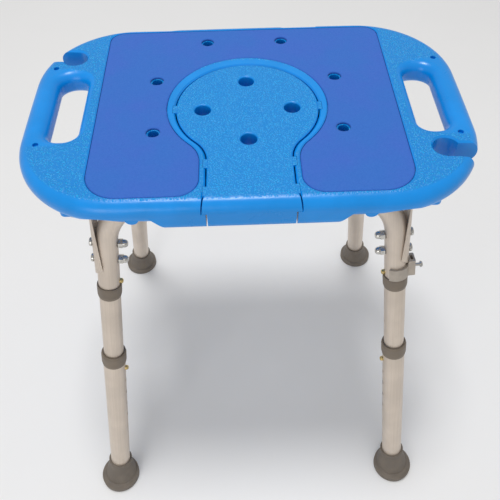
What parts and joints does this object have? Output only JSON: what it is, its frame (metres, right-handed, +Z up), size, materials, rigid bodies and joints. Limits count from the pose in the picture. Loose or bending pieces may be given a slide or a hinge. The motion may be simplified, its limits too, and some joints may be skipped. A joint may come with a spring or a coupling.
{
  "type": "shower chair",
  "caption": "Backless shower chair: moulded blue seat with handle cut-outs, foam pad and lift-out front insert, on splayed telescopic legs with rubber feet.",
  "frame": {"origin": "on the floor, midway between the four feet", "axes": "+X to the right seen from the front, +Y to the back, +Z up"},
  "size_m": [0.497, 0.4882, 0.563],
  "materials": {
    "blue_plastic": "pebbled top, glossy rims",
    "insert_plastic": "lightly pebbled",
    "pad_foam": "closed-cell foam, matte",
    "leg_tube": "satin anodised",
    "bracket": "satin anodised",
    "collar_plastic": "semi-matt",
    "foot_rubber": "matt",
    "clip_plastic": "semi-matt",
    "steel": "zinc plated",
    "button_metal": "yellow zinc plated"
  },
  "bodies": {
    "seat": {"seat_shell": "blue_plastic", "seat_pad": "pad_foam", "tube_straps": "bracket", "strap_screws": "steel", "gusset_screws": "steel", "leg_bolts": "steel", "acorn_nuts": "steel", "upper_leg_front_right": "leg_tube", "gusset_front_right": "bracket", "upper_collar_front_right": "collar_plastic", "upper_leg_front_left": "leg_tube", "gusset_front_left": "bracket", "upper_collar_front_left": "collar_plastic", "upper_leg_rear_right": "leg_tube", "gusset_rear_right": "bracket", "upper_collar_rear_right": "collar_plastic", "upper_leg_rear_left": "leg_tube", "gusset_rear_left": "bracket", "upper_collar_rear_left": "collar_plastic"},
    "insert": {"seat_insert": "insert_plastic"},
    "leg_clip": {"leg_clip": "clip_plastic", "clip_nut": "steel", "clip_screw": "steel"},
    "extension_front_right": {"leg_extension_front_right": "leg_tube", "upper_spring_front_right": "steel", "lower_spring_front_right": "steel"},
    "lower_front_right": {"lower_leg_front_right": "leg_tube", "lower_collar_front_right": "collar_plastic", "foot_front_right": "foot_rubber", "foot_washer_front_right": "steel"},
    "upper_button_front_right": {"upper_button_front_right": "button_metal"},
    "lower_button_front_right": {"lower_button_front_right": "button_metal"},
    "extension_front_left": {"leg_extension_front_left": "leg_tube", "upper_spring_front_left": "steel", "lower_spring_front_left": "steel"},
    "lower_front_left": {"lower_leg_front_left": "leg_tube", "lower_collar_front_left": "collar_plastic", "foot_front_left": "foot_rubber", "foot_washer_front_left": "steel"},
    "upper_button_front_left": {"upper_button_front_left": "button_metal"},
    "lower_button_front_left": {"lower_button_front_left": "button_metal"},
    "extension_rear_right": {"leg_extension_rear_right": "leg_tube", "upper_spring_rear_right": "steel", "lower_spring_rear_right": "steel"},
    "lower_rear_right": {"lower_leg_rear_right": "leg_tube", "lower_collar_rear_right": "collar_plastic", "foot_rear_right": "foot_rubber", "foot_washer_rear_right": "steel"},
    "upper_button_rear_right": {"upper_button_rear_right": "button_metal"},
    "lower_button_rear_right": {"lower_button_rear_right": "button_metal"},
    "extension_rear_left": {"leg_extension_rear_left": "leg_tube", "upper_spring_rear_left": "steel", "lower_spring_rear_left": "steel"},
    "lower_rear_left": {"lower_leg_rear_left": "leg_tube", "lower_collar_rear_left": "collar_plastic", "foot_rear_left": "foot_rubber", "foot_washer_rear_left": "steel"},
    "upper_button_rear_left": {"upper_button_rear_left": "button_metal"},
    "lower_button_rear_left": {"lower_button_rear_left": "button_metal"}
  },
  "joints": [
    {"name": "insert_lift", "type": "slide", "parent": "seat", "child": "insert", "axis": [0, 0, 1], "range_m": [0, 0.05]},
    {"name": "clip_swivel", "type": "hinge", "parent": "seat", "child": "leg_clip", "pos_m": [0.16727, -0.13852, 0.42141], "axis": [0.1158, -0.1787, -0.9771], "range_deg": [-20, 20]},
    {"name": "leg_release_front_right", "type": "slide", "parent": "seat", "child": "extension_front_right", "axis": [0.1158, -0.1787, -0.9771], "range_m": [0, 0.05], "deforming": ["upper_button_front_right"]},
    {"name": "leg_height_front_right", "type": "slide", "parent": "extension_front_right", "child": "lower_front_right", "axis": [-0.1158, 0.1787, 0.9771], "range_m": [0, 0.1016], "deforming": ["lower_button_front_right"]},
    {"name": "upper_button_press_front_right", "type": "slide", "parent": "extension_front_right", "child": "upper_button_front_right", "axis": [0.9933, 0.0208, 0.1139], "range_m": [0, 0.0055], "stiffness_N_per_m": 800, "deforming": ["upper_spring_front_right"]},
    {"name": "lower_button_press_front_right", "type": "slide", "parent": "extension_front_right", "child": "lower_button_front_right", "axis": [0.9933, 0.0208, 0.1139], "range_m": [0, 0.0055], "stiffness_N_per_m": 800, "deforming": ["lower_spring_front_right"]},
    {"name": "leg_release_front_left", "type": "slide", "parent": "seat", "child": "extension_front_left", "axis": [-0.1158, -0.1787, -0.9771], "range_m": [0, 0.05], "deforming": ["upper_button_front_left"]},
    {"name": "leg_height_front_left", "type": "slide", "parent": "extension_front_left", "child": "lower_front_left", "axis": [0.1158, 0.1787, 0.9771], "range_m": [0, 0.1016], "deforming": ["lower_button_front_left"]},
    {"name": "upper_button_press_front_left", "type": "slide", "parent": "extension_front_left", "child": "upper_button_front_left", "axis": [-0.9933, 0.0208, 0.1139], "range_m": [0, 0.0055], "stiffness_N_per_m": 800, "deforming": ["upper_spring_front_left"]},
    {"name": "lower_button_press_front_left", "type": "slide", "parent": "extension_front_left", "child": "lower_button_front_left", "axis": [-0.9933, 0.0208, 0.1139], "range_m": [0, 0.0055], "stiffness_N_per_m": 800, "deforming": ["lower_spring_front_left"]},
    {"name": "leg_release_rear_right", "type": "slide", "parent": "seat", "child": "extension_rear_right", "axis": [0.1158, 0.1787, -0.9771], "range_m": [0, 0.05], "deforming": ["upper_button_rear_right"]},
    {"name": "leg_height_rear_right", "type": "slide", "parent": "extension_rear_right", "child": "lower_rear_right", "axis": [-0.1158, -0.1787, 0.9771], "range_m": [0, 0.1016], "deforming": ["lower_button_rear_right"]},
    {"name": "upper_button_press_rear_right", "type": "slide", "parent": "extension_rear_right", "child": "upper_button_rear_right", "axis": [0.9933, -0.0208, 0.1139], "range_m": [0, 0.0055], "stiffness_N_per_m": 800, "deforming": ["upper_spring_rear_right"]},
    {"name": "lower_button_press_rear_right", "type": "slide", "parent": "extension_rear_right", "child": "lower_button_rear_right", "axis": [0.9933, -0.0208, 0.1139], "range_m": [0, 0.0055], "stiffness_N_per_m": 800, "deforming": ["lower_spring_rear_right"]},
    {"name": "leg_release_rear_left", "type": "slide", "parent": "seat", "child": "extension_rear_left", "axis": [-0.1158, 0.1787, -0.9771], "range_m": [0, 0.05], "deforming": ["upper_button_rear_left"]},
    {"name": "leg_height_rear_left", "type": "slide", "parent": "extension_rear_left", "child": "lower_rear_left", "axis": [0.1158, -0.1787, 0.9771], "range_m": [0, 0.1016], "deforming": ["lower_button_rear_left"]},
    {"name": "upper_button_press_rear_left", "type": "slide", "parent": "extension_rear_left", "child": "upper_button_rear_left", "axis": [-0.9933, -0.0208, 0.1139], "range_m": [0, 0.0055], "stiffness_N_per_m": 800, "deforming": ["upper_spring_rear_left"]},
    {"name": "lower_button_press_rear_left", "type": "slide", "parent": "extension_rear_left", "child": "lower_button_rear_left", "axis": [-0.9933, -0.0208, 0.1139], "range_m": [0, 0.0055], "stiffness_N_per_m": 800, "deforming": ["lower_spring_rear_left"]}
  ]
}
